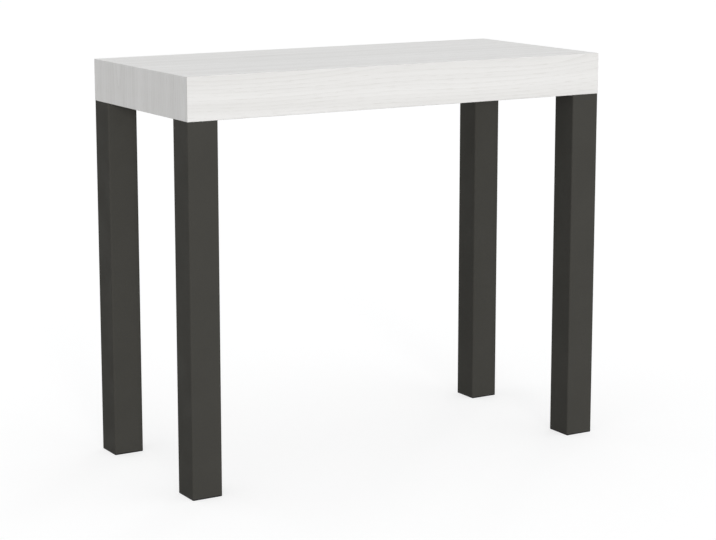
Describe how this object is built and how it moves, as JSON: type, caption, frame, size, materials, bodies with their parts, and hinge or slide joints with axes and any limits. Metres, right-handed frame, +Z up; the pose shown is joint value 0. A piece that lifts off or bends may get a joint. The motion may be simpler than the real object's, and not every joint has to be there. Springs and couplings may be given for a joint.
{
  "type": "extending console table",
  "caption": "Console table: a hollow white wood-grain slab on square dark steel legs, split at mid depth so that its rear half slides away on telescopic aluminium rails.",
  "frame": {"origin": "on the floor, under the middle of the closed table", "axes": "+X along the table's width, +Y from the fixed front half to the sliding rear half, +Z up"},
  "size_m": [0.9, 0.4, 0.77],
  "materials": {
    "white_ash_board": "melamine faced board in a pale white ash grain, satin",
    "anthracite_coat": "anthracite powder coat, fine texture, satin",
    "rail_aluminium": "clear anodised extrusion with fine lengthwise lines",
    "zinc_steel": "bright zinc plated steel",
    "insert_steel": "yellow passivated steel",
    "black_plastic": "moulded, fine grain",
    "white_nylon": "natural, smooth",
    "birch_block": "raw, planed",
    "beech_dowel": "raw, turned"
  },
  "bodies": {
    "front_half": {"front_top_board": "white_ash_board", "front_apron": "white_ash_board", "front_left_end_apron": "white_ash_board", "front_right_end_apron": "white_ash_board", "front_left_leg": "anthracite_coat", "front_right_leg": "anthracite_coat", "front_left_foot_cap": "black_plastic", "front_right_foot_cap": "black_plastic", "front_leg_plates": "anthracite_coat", "front_corner_blocks": "birch_block", "front_leg_bolts": "zinc_steel", "front_threaded_inserts": "insert_steel", "front_rail_brackets": "zinc_steel", "front_rail_screws": "zinc_steel", "front_rail_glides": "white_nylon", "left_rail_1": "rail_aluminium", "right_rail_1": "rail_aluminium", "lock_pivots": "zinc_steel"},
    "rear_half": {"rear_top_board": "white_ash_board", "rear_apron": "white_ash_board", "rear_left_end_apron": "white_ash_board", "rear_right_end_apron": "white_ash_board", "rear_left_leg": "anthracite_coat", "rear_right_leg": "anthracite_coat", "rear_left_foot_cap": "black_plastic", "rear_right_foot_cap": "black_plastic", "rear_leg_plates": "anthracite_coat", "rear_corner_blocks": "birch_block", "rear_leg_bolts": "zinc_steel", "rear_threaded_inserts": "insert_steel", "rear_rail_brackets": "zinc_steel", "rear_rail_screws": "zinc_steel", "rear_rail_glides": "white_nylon", "left_rail_7": "rail_aluminium", "right_rail_7": "rail_aluminium", "alignment_pins": "beech_dowel", "lock_keepers": "zinc_steel"},
    "left_stage_2": {"left_rail_2": "rail_aluminium", "left_glides_2": "white_nylon"},
    "left_stage_3": {"left_rail_3": "rail_aluminium", "left_glides_3": "white_nylon"},
    "left_stage_4": {"left_rail_4": "rail_aluminium", "left_glides_4": "white_nylon"},
    "left_stage_5": {"left_rail_5": "rail_aluminium", "left_glides_5": "white_nylon"},
    "left_stage_6": {"left_rail_6": "rail_aluminium", "left_glides_6": "white_nylon"},
    "right_stage_2": {"right_rail_2": "rail_aluminium", "right_glides_2": "white_nylon"},
    "right_stage_3": {"right_rail_3": "rail_aluminium", "right_glides_3": "white_nylon"},
    "right_stage_4": {"right_rail_4": "rail_aluminium", "right_glides_4": "white_nylon"},
    "right_stage_5": {"right_rail_5": "rail_aluminium", "right_glides_5": "white_nylon"},
    "right_stage_6": {"right_rail_6": "rail_aluminium", "right_glides_6": "white_nylon"},
    "left_lock": {"left_lock_hook": "zinc_steel"},
    "right_lock": {"right_lock_hook": "zinc_steel"}
  },
  "joints": [
    {"name": "extension", "type": "slide", "parent": "front_half", "child": "rear_half", "axis": [0, 1, 0], "range_m": [0, 1.56]},
    {"name": "left_stage_2_slide", "type": "slide", "parent": "front_half", "child": "left_stage_2", "axis": [0, 1, 0], "range_m": [0, 0.26]},
    {"name": "left_stage_3_slide", "type": "slide", "parent": "front_half", "child": "left_stage_3", "axis": [0, 1, 0], "range_m": [0, 0.52]},
    {"name": "left_stage_4_slide", "type": "slide", "parent": "front_half", "child": "left_stage_4", "axis": [0, 1, 0], "range_m": [0, 0.78]},
    {"name": "left_stage_5_slide", "type": "slide", "parent": "front_half", "child": "left_stage_5", "axis": [0, 1, 0], "range_m": [0, 1.04]},
    {"name": "left_stage_6_slide", "type": "slide", "parent": "front_half", "child": "left_stage_6", "axis": [0, 1, 0], "range_m": [0, 1.3]},
    {"name": "right_stage_2_slide", "type": "slide", "parent": "front_half", "child": "right_stage_2", "axis": [0, 1, 0], "range_m": [0, 0.26]},
    {"name": "right_stage_3_slide", "type": "slide", "parent": "front_half", "child": "right_stage_3", "axis": [0, 1, 0], "range_m": [0, 0.52]},
    {"name": "right_stage_4_slide", "type": "slide", "parent": "front_half", "child": "right_stage_4", "axis": [0, 1, 0], "range_m": [0, 0.78]},
    {"name": "right_stage_5_slide", "type": "slide", "parent": "front_half", "child": "right_stage_5", "axis": [0, 1, 0], "range_m": [0, 1.04]},
    {"name": "right_stage_6_slide", "type": "slide", "parent": "front_half", "child": "right_stage_6", "axis": [0, 1, 0], "range_m": [0, 1.3]},
    {"name": "left_lock_swing", "type": "hinge", "parent": "front_half", "child": "left_lock", "pos_m": [-0.1709, -0.026, 0.75], "axis": [0, 0, 1], "range_deg": [0, 90]},
    {"name": "right_lock_swing", "type": "hinge", "parent": "front_half", "child": "right_lock", "pos_m": [0.1709, -0.026, 0.75], "axis": [0, 0, -1], "range_deg": [0, 90]}
  ],
  "couplings": [
    {"joint": "left_stage_2_slide", "follows": "extension", "ratio": 0.16667},
    {"joint": "left_stage_3_slide", "follows": "extension", "ratio": 0.33333},
    {"joint": "left_stage_4_slide", "follows": "extension", "ratio": 0.5},
    {"joint": "left_stage_5_slide", "follows": "extension", "ratio": 0.66667},
    {"joint": "left_stage_6_slide", "follows": "extension", "ratio": 0.83333},
    {"joint": "right_stage_2_slide", "follows": "extension", "ratio": 0.16667},
    {"joint": "right_stage_3_slide", "follows": "extension", "ratio": 0.33333},
    {"joint": "right_stage_4_slide", "follows": "extension", "ratio": 0.5},
    {"joint": "right_stage_5_slide", "follows": "extension", "ratio": 0.66667},
    {"joint": "right_stage_6_slide", "follows": "extension", "ratio": 0.83333}
  ]
}
